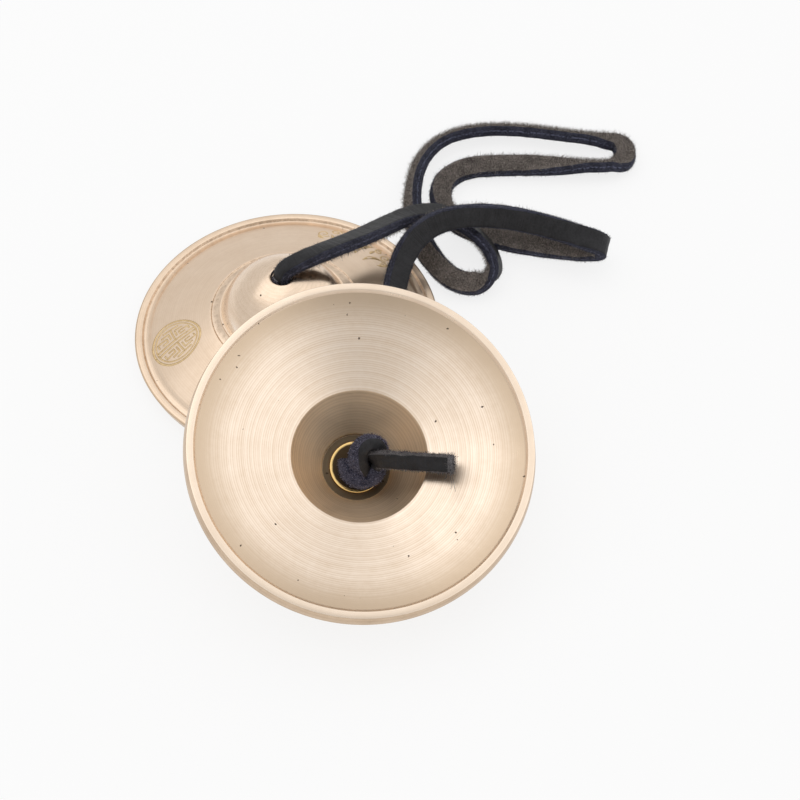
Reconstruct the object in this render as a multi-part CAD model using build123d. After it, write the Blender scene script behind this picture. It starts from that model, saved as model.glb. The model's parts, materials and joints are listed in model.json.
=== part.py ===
"""Tingsha: a pair of small turned bronze cymbals joined by one leather thong.

Each cymbal is a shallow dish with a hollow boss. The thong goes through a hole in the boss and is
stopped inside it by an overhand knot that sits on a brass washer. The pair lies as it is put down:
the rear cymbal on its rim, hollow side down, and the front one hollow side up, tipped towards the
viewer on the thong that runs out under its boss. Sizes are in millimetres, +Z is up, and the origin
is on the table under the middle of the pair.
"""
import os
from math import acos, atan2, cos, degrees, hypot, pi, radians, sin, sqrt, tan

from build123d import *

# Cymbal, in its own frame: the striking land lies at z = 0 and the boss rises along +Z
rim_radius = 35.6
rim_flare = 0.7
rim_height = 3.2
rim_round = 0.4
land_width = 1.4
lip_width = 0.4
lip_depth = 0.75
back_ring_width = 1.7
back_ring_step = 0.7
back_ring_slope = 0.4
shoulder_width = 1.9
wall = 1.75
dish_bow = 0.3
bowl_depth = 8.3
mouth_radius = 14.15
moulding_radius = 17.2
moulding_depth = 0.4
moulding_slope = 0.25
bead_radius = 15.1
bead_width = 0.5
bead_height = 0.6
boss_radius = 14.4
boss_foot = 0.2
boss_height = 20.6
boss_bow = 0.5
hole_round = 0.6
seat_depth = 17.6
recess_depth = 0.6
recess_radius = 7.3

# Brass washer under each knot
washer_radius = 5.7
washer_thickness = 0.5
washer_round = 0.2

# Leather thong, and the rounded section that it takes where it is drawn through a hole
strap_width = 5.0
strap_thickness = 2.2
strap_round = 2 * sqrt(strap_width * strap_thickness / pi)

# Overhand knots
coil_radius = 3.1
coil_section = 2.3
coil_flat = 0.2
loop_radius = 3.1
loop_section = 1.6
loop_lean = 62.0
loop_back = 0.8
loop_aside = 0.9
loop_rise = 6.4
tail_start = 1.5
tail_rise = 7.9
tail_round = 0.5
front_tail_reach = 20.2
rear_tail_reach = 15.0

# Clearances
strap_clearance = 0.4
seat_gap = 0.05
knot_gap = 0.3
tail_gap = 0.4
boss_gap = 1.67
table_gap = 0.1

# Rest pose: where the front boss's hole stands over the thong that lies flat under it, how far and
# which way that cymbal is tipped, and which way each knot's tail points
front_hole_at = (7.52, -18.76)
front_tilt = 17.4
front_tilt_towards = -68.2
front_tail_towards = -6.0
rear_tail_towards = 205.0

# The thong's route between the two bosses, from the rear one to the front one. The loops on the
# table stand on edge, so their middle is half the thong's width up.
lying = strap_width / 2 + table_gap
open_route = [
    (-7.0, 23.9, 24.0),
    (-4.0, 25.9, 24.6),
    (0.5, 29.2, 23.4),
    (5.0, 33.6, 20.9),
    (10.6, 39.7, 17.6),
    (16.0, 46.4, 14.0),
    (21.5, 50.8, 11.5),
    (27.0, 52.4, 9.6),
    (32.0, 50.4, 8.0),
    (36.5, 47.4, 6.0),
    (39.7, 44.2, 3.8),
    (40.5, 40.2, lying),
    (38.6, 36.4, lying),
    (34.6, 34.5, lying),
    (30.2, 35.8, lying),
    (26.4, 40.2, lying),
    (23.0, 46.8, lying),
    (20.6, 54.8, lying),
    (20.2, 62.8, lying),
    (21.0, 70.4, lying),
    (23.0, 77.6, lying),
    (27.0, 83.4, lying),
    (33.0, 87.0, lying),
    (41.0, 88.5, lying),
    (50.0, 88.0, lying),
    (59.0, 86.4, lying),
    (66.0, 85.1, lying),
    (71.6, 84.0, lying),
    (78.0, 82.6, lying),
    (78.0, 76.2, lying),
    (71.6, 74.6, lying),
    (65.6, 74.4, lying),
    (58.8, 74.8, lying),
    (49.8, 75.4, lying),
    (41.0, 75.2, lying),
    (34.6, 74.3, lying),
    (29.6, 71.8, lying),
    (27.3, 67.2, lying),
    (27.8, 61.2, lying),
    (31.0, 55.6, lying),
    (36.6, 51.6, lying),
    (43.4, 49.3, lying),
    (51.8, 47.3, lying),
    (60.2, 45.7, lying),
    (68.4, 44.4, 2.9),
    (68.6, 41.0, 10.0),
    (60.6, 43.6, 10.0),
    (55.0, 46.2, 10.1),
    (46.5, 48.3, 11.0),
    (39.0, 48.4, 12.4),
    (32.0, 46.9, 13.8),
    (25.8, 44.6, 14.1),
    (20.9, 41.0, 13.0),
    (17.8, 36.0, 11.0),
    (16.2, 30.0, 9.6),
    (15.0, 21.0, 9.3),
    (13.4, 10.5, 8.9),
    (11.6, 0.5, 7.9),
    (10.0, -7.0, 6.2),
    (8.9, -11.4, 3.5),
    (8.0, -15.4, 2.0),
]
rear_exit = 1.5
front_exit = 0.6
bend_share = 0.45

# Derived sizes of the cymbal
land_radius = rim_radius - rim_flare
land_inner = land_radius - land_width
lip_radius = land_inner - lip_width
hole_radius = strap_round / 2 + strap_clearance
widest_height = rim_height - rim_round
knot_seat = seat_depth - seat_gap - washer_thickness
thong_end = knot_seat + knot_gap
dish_rise = (bowl_depth - lip_depth) / (lip_radius - mouth_radius)
wall_rise = wall * sqrt(1 + dish_rise**2)

# Derived pose: the front cymbal's axis points out of its hollow, and the rear one stands so that
# the middle of the pair is over the origin
axis = Vector(
    sin(radians(front_tilt)) * cos(radians(front_tilt_towards)),
    sin(radians(front_tilt)) * sin(radians(front_tilt_towards)),
    cos(radians(front_tilt)),
)
front_apex = Vector(*front_hole_at, strap_thickness + boss_gap)
front_land = front_apex + axis * boss_height
front_reach_x = front_land.X + rim_radius * sqrt(1 - axis.X**2) - widest_height * axis.X
front_reach_y = front_land.Y - rim_radius * sqrt(1 - axis.Y**2) - widest_height * axis.Y
rear_land = Vector(rim_radius - front_reach_x, -front_reach_y - rim_radius, 0)


def back_height(radius):
    """Height of the dish's back over the land plane at a radius."""
    return lip_depth + (lip_radius - radius) * dish_rise + wall_rise


def bowed(start, end, bow):
    """Arc from start to end that stands bow to the left of the straight line."""
    run = (end[0] - start[0], end[1] - start[1])
    length = hypot(*run)
    middle = (
        (start[0] + end[0]) / 2 - run[1] / length * bow,
        (start[1] + end[1]) / 2 + run[0] / length * bow,
    )
    return ThreePointArc(start, middle, end)


def rounded(start, end, centre):
    """Short arc from start to end round a centre."""
    middle_angle = atan2(
        (start[1] + end[1]) / 2 - centre[1],
        (start[0] + end[0]) / 2 - centre[0],
    )
    radius = hypot(start[0] - centre[0], start[1] - centre[1])
    middle = (centre[0] + radius * cos(middle_angle), centre[1] + radius * sin(middle_angle))
    return ThreePointArc(start, middle, end)


def pose(origin, boss_direction, tail_towards):
    """Place of a cymbal's own frame, with its X axis turned to where the tail points."""
    heading = Vector(cos(radians(tail_towards)), sin(radians(tail_towards)), 0)
    level = heading - boss_direction * heading.dot(boss_direction)
    return Plane(origin=origin, x_dir=level.normalized(), z_dir=boss_direction).location


def cymbal():
    """One cymbal: flared rim, dished flange, moulding, boss and its stepped hollow, as one turning."""
    widest = (rim_radius, widest_height)
    rim_top = (rim_radius - rim_round, rim_height)
    ring_inner = (rim_radius - back_ring_width, rim_height)
    ring_foot = (ring_inner[0] - back_ring_slope, rim_height - back_ring_step)
    shoulder_radius = ring_foot[0] - shoulder_width
    shoulder = (shoulder_radius, back_height(shoulder_radius))
    moulding_edge = (moulding_radius, back_height(moulding_radius))
    floor_start_radius = moulding_radius - moulding_slope
    floor_start = (floor_start_radius, back_height(floor_start_radius) - moulding_depth)
    floor_end = (bead_radius, back_height(bead_radius) - moulding_depth)
    bead_top = (bead_radius, floor_end[1] + bead_height)
    bead_end = (bead_radius - bead_width, bead_top[1])
    boss_base = (boss_radius, bead_top[1] - boss_foot)
    dome_height = boss_height - boss_base[1]
    dome_radius = (boss_radius**2 + dome_height**2) / (2 * dome_height)
    dome_centre = (0, boss_height - dome_radius)
    brow_radius = hole_radius + hole_round
    brow = (brow_radius, dome_centre[1] + sqrt(dome_radius**2 - brow_radius**2))
    throat = (hole_radius, brow[1] - hole_round)
    recess_rim = (recess_radius, seat_depth - recess_depth)
    mouth = (mouth_radius, bowl_depth)
    lip = (lip_radius, lip_depth)
    outline = [
        Polyline((land_inner, 0), (land_radius, 0), widest),
        rounded(widest, rim_top, (rim_radius - rim_round, widest_height)),
        Polyline(rim_top, ring_inner, ring_foot),
        bowed(ring_foot, shoulder, lip_width / 2),
        bowed(shoulder, moulding_edge, -dish_bow),
        Polyline(moulding_edge, floor_start, floor_end, bead_top, bead_end, boss_base),
        rounded(boss_base, brow, dome_centre),
        rounded(brow, throat, (brow_radius, throat[1])),
        Polyline(throat, (hole_radius, seat_depth), (recess_radius, seat_depth), recess_rim),
        bowed(recess_rim, mouth, boss_bow),
        bowed(mouth, lip, dish_bow),
        Line(lip, (land_inner, 0)),
    ]
    return revolve(Plane.XZ * make_face(outline), Axis.Z)


def washer():
    """Flat brass ring with rounded outer edges, lying against the recess floor."""
    ring = Cylinder(washer_radius, washer_thickness, align=(Align.CENTER, Align.CENTER, Align.MIN))
    ring = fillet(ring.edges(), washer_round)
    bore = Cylinder(hole_radius, washer_thickness, align=(Align.CENTER, Align.CENTER, Align.MIN))
    return Pos(0, 0, knot_seat) * (ring - bore)


def tail_slope():
    """Slope, in radians, at which a tail standing on edge just clears the mouth of the boss."""
    run = mouth_radius - tail_start
    drop = knot_seat - tail_rise - bowl_depth + tail_gap
    return acos(-strap_width / 2 / hypot(drop, run)) - atan2(run, drop)


def knot(tail_reach):
    """Overhand knot: a round coil on the washer, a loop drawn across it and the thong's cut tail.

    Args:
        tail_reach: How far from the boss's axis the cut end stands.
    """
    coil = Pos(0, 0, knot_seat - coil_section + coil_flat) * Torus(coil_radius, coil_section)
    heart = Pos(0, 0, knot_seat - coil_section) * Cylinder(coil_radius, 2 * (coil_section - coil_flat))
    over_seat = Pos(0, 0, knot_seat + coil_section) * Cylinder(2 * washer_radius, 2 * coil_section)
    loop = Torus(loop_radius, loop_section)
    loop = Pos(-loop_back, loop_aside, knot_seat - loop_rise) * Rot(loop_lean, 0, 0) * loop
    slope = tail_slope()
    length = (tail_reach - tail_start) / cos(slope)
    band = RectangleRounded(strap_thickness, strap_width, tail_round)
    tail = extrude(band, length)
    tail = Rot(0, 90 + degrees(slope), 0) * Rot(0, 0, 90) * tail
    tail = Pos(tail_start, 0, knot_seat - tail_rise) * tail
    return (coil + heart + loop + tail) - over_seat


def strap_path():
    """The thong's middle line: straight runs joined by arcs as large as their runs allow."""
    rear_axis = Vector(0, 0, 1)
    route = [rear_land + rear_axis * thong_end, rear_land + rear_axis * (boss_height + rear_exit)]
    route += [Vector(*point) for point in open_route]
    route += [front_apex - axis * front_exit, front_land - axis * thong_end]
    radii = []
    for before, corner, after in zip(route, route[1:], route[2:]):
        first, second = corner - before, after - corner
        half_turn = radians(first.get_angle(second)) / 2
        radii.append(bend_share * min(first.length, second.length) / tan(half_turn))
    print("bend radii", [round(radius, 1) for radius in radii])
    return FilletPolyline(*route, radius=radii)


def strap():
    """The thong between the knots, as a tube of the thong's own section area."""
    path = strap_path()
    start = Plane(origin=path @ 0, z_dir=path % 0)
    tube = sweep(start * Circle(strap_round / 2), path=path)
    plain_volume = pi * strap_round**2 / 4 * path.length
    print(f"strap length {path.length:.1f}, volume share {tube.volume / plain_volume:.4f}")
    return tube


rear_place = pose(rear_land, Vector(0, 0, 1), rear_tail_towards)
front_place = pose(front_land, axis * -1, front_tail_towards)

pieces = {
    "rear_cymbal": rear_place * cymbal(),
    "front_cymbal": front_place * cymbal(),
    "rear_washer": rear_place * washer(),
    "front_washer": front_place * washer(),
    "rear_knot": rear_place * knot(rear_tail_reach),
    "front_knot": front_place * knot(front_tail_reach),
    "strap": strap(),
}

os.makedirs("parts", exist_ok=True)
for name, piece in pieces.items():
    export_step(piece, f"parts/{name}.step")
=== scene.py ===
"""Dresses the tingsha: two turned bronze cymbals, their washers and knots, and the thong between them.

Everything is in metres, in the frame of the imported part. Each cymbal is turned from its own profile, the
thong and the knots are flat leather strips swept along smooth lines, and fibres stand on their suede.
"""
import json
import logging
import math
from collections.abc import Mapping, Sequence
from dataclasses import dataclass, field
from enum import Enum

import bpy
import numpy as np
from mathutils import Matrix, Vector, noise


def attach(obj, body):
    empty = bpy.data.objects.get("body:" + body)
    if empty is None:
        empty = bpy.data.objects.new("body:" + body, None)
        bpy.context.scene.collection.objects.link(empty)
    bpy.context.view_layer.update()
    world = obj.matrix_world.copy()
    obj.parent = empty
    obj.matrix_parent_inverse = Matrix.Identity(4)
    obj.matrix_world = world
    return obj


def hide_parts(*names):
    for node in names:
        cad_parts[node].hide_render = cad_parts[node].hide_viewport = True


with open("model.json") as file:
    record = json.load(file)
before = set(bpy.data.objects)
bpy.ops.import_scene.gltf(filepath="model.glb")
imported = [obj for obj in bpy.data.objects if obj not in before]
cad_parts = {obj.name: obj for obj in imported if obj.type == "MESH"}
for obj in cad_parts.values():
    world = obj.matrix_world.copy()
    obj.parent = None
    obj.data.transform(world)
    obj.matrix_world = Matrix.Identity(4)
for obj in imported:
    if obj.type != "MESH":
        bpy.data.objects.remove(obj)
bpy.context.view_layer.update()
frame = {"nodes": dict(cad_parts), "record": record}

MILLI = 0.001
log = logging.getLogger("tingsha")

Colour = tuple[float, float, float]
Point = tuple[float, float, float]
Flat = tuple[float, float]
Stroke = tuple[list[Flat], float]

NOISE_MEAN = 0.5
WHITE = (1.0, 1.0, 1.0, 1.0)
SUEDE_COLOUR = (0.075, 0.065, 0.060)
TAIL_COLOUR = (0.050, 0.047, 0.052)
SPECK_COLOUR = (0.05, 0.033, 0.022)


class Signal:
    """A shader socket that can stand in a Python expression."""

    def __init__(self, tree: "ShaderTree", socket: bpy.types.NodeSocket) -> None:
        """Keeps the socket and the tree that new nodes go into."""
        self.tree = tree
        self.socket = socket

    def _math(self, operation: str, *values: "Signal | float") -> "Signal":
        """The result of one Math node on one or two values."""
        return self.tree.value("ShaderNodeMath", {"operation": operation}, dict(enumerate(values)))

    def __add__(self, other: "Signal | float") -> "Signal":
        """Sum."""
        return self._math("ADD", self, other)

    def __radd__(self, other: float) -> "Signal":
        """Sum with a number on the left."""
        return self._math("ADD", other, self)

    def __sub__(self, other: "Signal | float") -> "Signal":
        """Difference."""
        return self._math("SUBTRACT", self, other)

    def __rsub__(self, other: float) -> "Signal":
        """Difference from a number on the left."""
        return self._math("SUBTRACT", other, self)

    def __mul__(self, other: "Signal | float") -> "Signal":
        """Product."""
        return self._math("MULTIPLY", self, other)

    def __rmul__(self, other: float) -> "Signal":
        """Product with a number on the left."""
        return self._math("MULTIPLY", other, self)

    def __truediv__(self, other: "Signal | float") -> "Signal":
        """Quotient."""
        return self._math("DIVIDE", self, other)

    def __gt__(self, other: "Signal | float") -> "Signal":
        """1 where this is over the other, and 0 elsewhere."""
        return self._math("GREATER_THAN", self, other)

    def __abs__(self) -> "Signal":
        """Size without its sign."""
        return self._math("ABSOLUTE", self)

    def sine(self) -> "Signal":
        """Sine of an angle in radians."""
        return self._math("SINE", self)

    def ramp(self, low: float, high: float) -> "Signal":
        """A smooth step from 0 at low to 1 at high; with low over high it falls."""
        rising = low < high
        inputs = {"Value": self, "From Min": min(low, high), "From Max": max(low, high)}
        inputs |= {"To Min": 0.0 if rising else 1.0, "To Max": 1.0 if rising else 0.0}
        return self.tree.value("ShaderNodeMapRange", {"interpolation_type": "SMOOTHSTEP"}, inputs)


SocketValue = Signal | float | Sequence[float]


class NodeTree:
    """A tree of nodes that the script fills."""

    def __init__(self, tree: bpy.types.NodeTree) -> None:
        """Keeps the tree that new nodes go into."""
        self.tree = tree

    def node(
        self,
        kind: str,
        settings: Mapping[str, object] | None = None,
        inputs: Mapping[str | int, object] | None = None,
    ) -> bpy.types.Node:
        """Adds a node.

        Args:
            kind: The node's type.
            settings: Its properties, which are set first.
            inputs: Values of its sockets, or what feeds them, by name or number.

        Returns:
            The new node.
        """
        made = self.tree.nodes.new(kind)
        for name, setting in (settings or {}).items():
            setattr(made, name, setting)
        for key, given in (inputs or {}).items():
            source = given.socket if isinstance(given, Signal) else given
            if isinstance(source, bpy.types.NodeSocket):
                self.tree.links.new(source, made.inputs[key])
            else:
                made.inputs[key].default_value = source
        return made


class ShaderTree(NodeTree):
    """The nodes of one material or of the world."""

    def __init__(self, owner: bpy.types.Material | bpy.types.World) -> None:
        """Starts an empty tree on its owner."""
        owner.use_nodes = True
        super().__init__(owner.node_tree)
        self.tree.nodes.clear()

    def value(
        self,
        kind: str,
        settings: Mapping[str, object] | None = None,
        inputs: Mapping[str | int, SocketValue] | None = None,
        output: str | int = 0,
    ) -> Signal:
        """Adds a node and gives one of its outputs, by name or number."""
        return Signal(self, self.node(kind, settings, inputs).outputs[output])

    def parts(self, kind: str, whole: Signal, numbers: Sequence[int]) -> list[Signal]:
        """Some of the numbers that a vector or a colour comes apart into."""
        apart = self.node(kind, None, {0: whole})
        return [Signal(self, apart.outputs[number]) for number in numbers]

    def vector(self, operation: str, *given: SocketValue, output: str | int = 0) -> Signal:
        """One Vector Math node on one or two vectors."""
        return self.value("ShaderNodeVectorMath", {"operation": operation}, dict(enumerate(given)), output)

    def mix(self, factor: Signal | float, first: SocketValue, second: SocketValue) -> Signal:
        """A colour that goes from first to second as the factor goes from 0 to 1."""
        ends = [end if isinstance(end, Signal) else (*end, 1.0) for end in (first, second)]
        return self.value("ShaderNodeMix", {"data_type": "RGBA"}, {0: factor, 6: ends[0], 7: ends[1]}, 2)

    def attribute(self, name: str) -> Signal:
        """A vector attribute of the mesh."""
        return self.value("ShaderNodeAttribute", {"attribute_name": name}, None, "Vector")

    def place(self) -> Signal:
        """The object's own coordinates, in metres."""
        return self.value("ShaderNodeTexCoord", None, None, "Object")

    def grain(self, vector: Signal, scale: float, detail: float = 3.0, rough: float = 0.55) -> Signal:
        """Noise in three dimensions, from about 0.2 to 0.8."""
        inputs = {"Vector": vector, "Scale": scale, "Detail": detail, "Roughness": rough}
        return self.value("ShaderNodeTexNoise", {"noise_dimensions": "3D"}, inputs)

    def stripes(self, along: Signal, scale: float, detail: float = 2.0) -> Signal:
        """Noise in one dimension, which makes uneven stripes or rings."""
        inputs = {"W": along, "Scale": scale, "Detail": detail, "Roughness": 0.6}
        return self.value("ShaderNodeTexNoise", {"noise_dimensions": "1D"}, inputs)

    def bump(self, height: Signal, depth: float) -> Signal:
        """A normal from a height of 0 to 1 that stands for a depth in metres."""
        return self.value("ShaderNodeBump", None, {"Height": height, "Distance": depth, "Strength": 1.0})

    def finish(self, shader: Signal) -> None:
        """Sends a shader to the material's output."""
        self.node("ShaderNodeOutputMaterial", None, {"Surface": shader})


@dataclass(frozen=True)
class Finish:
    """A surface that makes its own material."""

    name: str

    def material(self) -> bpy.types.Material:
        """Makes the material, with one shader."""
        made = bpy.data.materials.new(self.name)
        tree = ShaderTree(made)
        tree.finish(tree.value("ShaderNodeBsdfPrincipled", None, self.inputs(tree)))
        return made

    def inputs(self, tree: ShaderTree) -> dict[str, SocketValue]:
        """The shader's inputs, which each kind of finish gives."""
        raise NotImplementedError


@dataclass(frozen=True)
class BronzeFinish(Finish):
    """Turned bell bronze: fine rings round the cymbal's axis, tarnish, specks and lines in the corners.

    It reads the cymbal's own coordinates, so its lengths are in millimetres; only ring_depth is in metres.
    Each line has its radius, half width and strength, and the edge band its start, end and strength. Some
    bands and lines are painted shade and painted highlight, as noted at each finish.
    """

    colour: Colour
    shade: Colour
    roughness: float
    anisotropy: float
    ring_pitch: float
    ring_depth: float
    ring_tint: float
    tarnish: float
    speck_share: float
    lines: tuple[Point, ...] = ()
    line_colour: Colour = (0.20, 0.135, 0.085)
    edge_band: Point = (0.0, 1.0, 0.0)
    edge_colour: Colour = (0.60, 0.465, 0.335)
    edge_jitter: float = 1.2
    speck_cell: float = 3.0
    speck_size: float = 0.075
    speck_blur: float = 0.015
    speck_raggedness: float = 0.22
    patch_scale: float = 0.16
    cloud_scale: float = 0.9
    band_scale: float = 0.55
    band_drift: float = 0.5
    band_share: float = 0.25
    ring_jitter: float = 7.0
    ring_mix: Point = (0.25, 0.6, 0.2)
    patch_weight: float = 1.6
    tone_base: float = 0.35
    tone_span: Flat = (-0.15, 0.95)
    line_gaps: Flat = (0.36, 0.68)
    patch_roughness: float = 0.16
    ring_roughness: float = 0.06
    speck_roughness: float = 0.3
    speck_cover: float = 0.9
    speck_pit: float = 1.5
    cloud_height: float = 0.25
    brush_turn: float = 0.25

    def specks(self, tree: ShaderTree, own: Signal) -> Signal:
        """1 on small pits, one in some of the cells, and 0 elsewhere.

        Args:
            tree: The material's nodes.
            own: The cymbal's own coordinates, in millimetres.

        Returns:
            The pits' mask.
        """
        spots = {"Vector": own, "Scale": 1.0 / self.speck_cell}
        cells = tree.node("ShaderNodeTexVoronoi", {"voronoi_dimensions": "2D"}, spots)
        chance, size = tree.parts("ShaderNodeSeparateColor", Signal(tree, cells.outputs["Color"]), (0, 1))
        ragged = (tree.grain(own, 2.5, 2.0) - NOISE_MEAN) * self.speck_raggedness
        reach = Signal(tree, cells.outputs["Distance"]) + ragged
        inside = (reach - size * self.speck_size).ramp(self.speck_blur, -self.speck_blur)
        return inside * (chance > 1.0 - self.speck_share)

    def inputs(self, tree: ShaderTree) -> dict[str, SocketValue]:
        """The shader's inputs, round the cymbal's axis.

        Args:
            tree: The material's nodes.

        Returns:
            Values of the shader's sockets, or what feeds them, by name.
        """
        own = tree.attribute("own")
        radius = tree.vector("LENGTH", tree.vector("MULTIPLY", own, (1.0, 1.0, 0.0)), output="Value")
        patches = tree.grain(own, self.patch_scale, 5.0, 0.6)
        cloud = tree.grain(own, self.cloud_scale, 4.0, 0.65)
        uneven = tree.stripes(radius, 1.0 / self.ring_pitch, 3.0)
        wave = (radius * (math.tau / self.ring_pitch) + uneven * self.ring_jitter).sine()
        even_share, uneven_share, base = self.ring_mix
        rings = wave * even_share + uneven * uneven_share + base
        bands = tree.stripes(radius + patches * self.band_drift, self.band_scale, 2.0)
        turned = (rings - NOISE_MEAN) + (bands - NOISE_MEAN) * self.band_share
        tarnish = (patches - NOISE_MEAN) * self.patch_weight + (cloud - NOISE_MEAN)
        tone = turned * self.ring_tint + tarnish * self.tarnish + self.tone_base
        colour = tree.mix(tone.ramp(*self.tone_span), self.colour, self.shade)
        # Edge band: the colour moves towards edge_colour between two radii, with a border made uneven by
        # noise. In the hollow it is painted shade in the recess, on the dome a painted highlight at its foot,
        # in the bowl a darker band towards the rim.
        inner, outer, strength = self.edge_band
        if strength:
            ragged_edge = radius + (cloud - NOISE_MEAN) * self.edge_jitter
            colour = tree.mix(ragged_edge.ramp(inner, outer) * strength, colour, self.edge_colour)
        # Lines: thin rings of line_colour. The hollow's bright one is a painted highlight on the recess's
        # rim, and on the back they darken the steps, with painted shade in the moulding.
        for at, spread, strength in self.lines:
            line = abs(radius - at).ramp(spread, 0.0) * cloud.ramp(*self.line_gaps)
            colour = tree.mix(line * strength, colour, self.line_colour)
        specks = self.specks(tree, own)
        rough = self.roughness + (patches - NOISE_MEAN) * self.patch_roughness
        rough = rough + (rings - NOISE_MEAN) * self.ring_roughness
        height = rings + (cloud - NOISE_MEAN) * self.cloud_height - specks * self.speck_pit
        return {
            "Base Color": tree.mix(specks * self.speck_cover, colour, SPECK_COLOUR),
            "Metallic": 1.0,
            "Roughness": rough + specks * self.speck_roughness,
            "Anisotropic": self.anisotropy,
            "Anisotropic Rotation": self.brush_turn,
            "Normal": tree.bump(height, self.ring_depth),
        }


@dataclass(frozen=True)
class MetalFinish(Finish):
    """Plain etched metal with a little wear."""

    colour: Colour
    shade: Colour
    roughness: float
    wear_scale: float = 900.0
    wear_depth: float = 0.00001
    wear_span: Flat = (0.3, 0.75)
    wear_roughness: float = 0.25

    def inputs(self, tree: ShaderTree) -> dict[str, SocketValue]:
        """The shader's inputs, on the object's own coordinates.

        Args:
            tree: The material's nodes.

        Returns:
            Values of the shader's sockets, or what feeds them, by name.
        """
        wear = tree.grain(tree.place(), self.wear_scale, 4.0, 0.6)
        return {
            "Base Color": tree.mix(wear.ramp(*self.wear_span), self.colour, self.shade),
            "Metallic": 1.0,
            "Roughness": self.roughness + (wear - NOISE_MEAN) * self.wear_roughness,
            "Normal": tree.bump(wear, self.wear_depth),
        }


@dataclass(frozen=True)
class WasherFinish(Finish):
    """Brass that is bright at the washer's rim, with painted shade over its face that stands in for the
    knot's shadow.
    """

    centre: Point
    axis: Point
    rim_radius: float = 0.0057
    rim_width: float = 0.00045
    colour: Colour = (0.83, 0.58, 0.24)
    painted_face_shade: Colour = (0.055, 0.037, 0.021)
    roughness: float = 0.2
    face_roughness: float = 0.35
    wear_scale: float = 900.0
    wear_depth: float = 0.00001
    wear_roughness: float = 0.2
    shade_border_noise: float = 0.3
    rim_blur: Flat = (-0.3, 0.15)

    def inputs(self, tree: ShaderTree) -> dict[str, SocketValue]:
        """The shader's inputs, round the washer's own axis.

        Args:
            tree: The material's nodes.

        Returns:
            Values of the shader's sockets, or what feeds them, by name.
        """
        place = tree.place()
        arm = tree.vector("CROSS_PRODUCT", tree.vector("SUBTRACT", place, self.centre), self.axis)
        radius = tree.vector("LENGTH", arm, output="Value")
        wear = tree.grain(place, self.wear_scale, 4.0, 0.6)
        inner = (self.rim_radius - self.rim_width) / MILLI
        low, high = (inner + offset for offset in self.rim_blur)
        # Painted shade: inside the bright rim the face takes the near-black colour, which stands in for the
        # knot's shadow; noise makes the border uneven.
        edge = (radius / MILLI + (wear - NOISE_MEAN) * self.shade_border_noise).ramp(low, high)
        rough = self.roughness + (1.0 - edge) * self.face_roughness
        return {
            "Base Color": tree.mix(edge, self.painted_face_shade, self.colour),
            "Metallic": 1.0,
            "Roughness": rough + (wear - NOISE_MEAN) * self.wear_roughness,
            "Normal": tree.bump(wear, self.wear_depth),
        }


@dataclass(frozen=True)
class LeatherFinish(Finish):
    """One side of the thong: smooth grain, cut edge or suede.

    It reads the strip's own UV map, so its lengths are in millimetres, and only nap_depth is in metres.
    """

    colour: Colour
    second: Colour
    roughness: float
    nap: float
    nap_depth: float
    nap_stretch: Flat = (1.0, 1.0)
    crease_scale: float = 0.7
    crease_depth: float = 0.0
    sheen: float = 0.0
    sheen_tint: Colour = (0.5, 0.5, 0.5)
    gloss: float = 0.1
    pale_lines: tuple[float, ...] = ()
    pale_width: float = 0.28
    pale_colour: Colour = (0.15, 0.16, 0.24)
    patch_scale: float = 0.35
    patch_share: float = 0.6
    nap_share: float = 0.7
    nap_roughness: float = 0.2
    tone_span: Flat = (0.42, 0.86)
    pale_drift: float = 0.6
    pale_gaps: Flat = (0.42, 0.62)
    crease_drift: float = 0.5
    crease_span: Flat = (0.56, 0.42)

    def inputs(self, tree: ShaderTree) -> dict[str, SocketValue]:
        """The shader's inputs, along and round the strip.

        Args:
            tree: The material's nodes.

        Returns:
            Values of the shader's sockets, or what feeds them, by name.
        """
        lie = tree.value("ShaderNodeUVMap", {"uv_map": "lie"})
        nap = tree.grain(tree.vector("MULTIPLY", lie, (*self.nap_stretch, 1.0)), self.nap, 4.0, 0.7)
        patches = tree.grain(lie, self.patch_scale, 3.0)
        along, girth = tree.parts("ShaderNodeSeparateXYZ", lie, (0, 1))
        tone = nap * self.nap_share + patches * self.patch_share
        colour = tree.mix(tone.ramp(*self.tone_span), self.colour, self.second)
        for at in self.pale_lines:
            offset = abs(girth + (patches - NOISE_MEAN) * self.pale_drift - at)
            shown = offset.ramp(self.pale_width, 0.0) * nap.ramp(*self.pale_gaps)
            colour = tree.mix(shown, colour, self.pale_colour)
        creases = tree.stripes(along + nap * self.crease_drift, self.crease_scale, 3.0)
        height = nap + creases.ramp(*self.crease_span) * self.crease_depth
        return {
            "Base Color": colour,
            "Roughness": self.roughness + (nap - NOISE_MEAN) * self.nap_roughness,
            "Specular IOR Level": self.gloss,
            "Sheen Weight": self.sheen,
            "Sheen Tint": (*self.sheen_tint, 1.0),
            "Normal": tree.bump(height, self.nap_depth),
        }


@dataclass(frozen=True)
class FibreFinish(Finish):
    """Loose leather fibres, each of its own shade."""

    colour: Colour
    second: Colour
    scale: float = 2600.0
    shade_span: Flat = (0.38, 0.66)

    def inputs(self, tree: ShaderTree) -> dict[str, SocketValue]:
        """The shader's inputs, on the object's own coordinates.

        Args:
            tree: The material's nodes.

        Returns:
            Values of the shader's sockets, or what feeds them, by name.
        """
        shade = tree.grain(tree.place(), self.scale, 1.0).ramp(*self.shade_span)
        colour = tree.mix(shade, self.colour, self.second)
        return {"Base Color": colour, "Roughness": 1.0, "Specular IOR Level": 0.1}


# Bowl: the edge band darkens it towards the rim.
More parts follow.
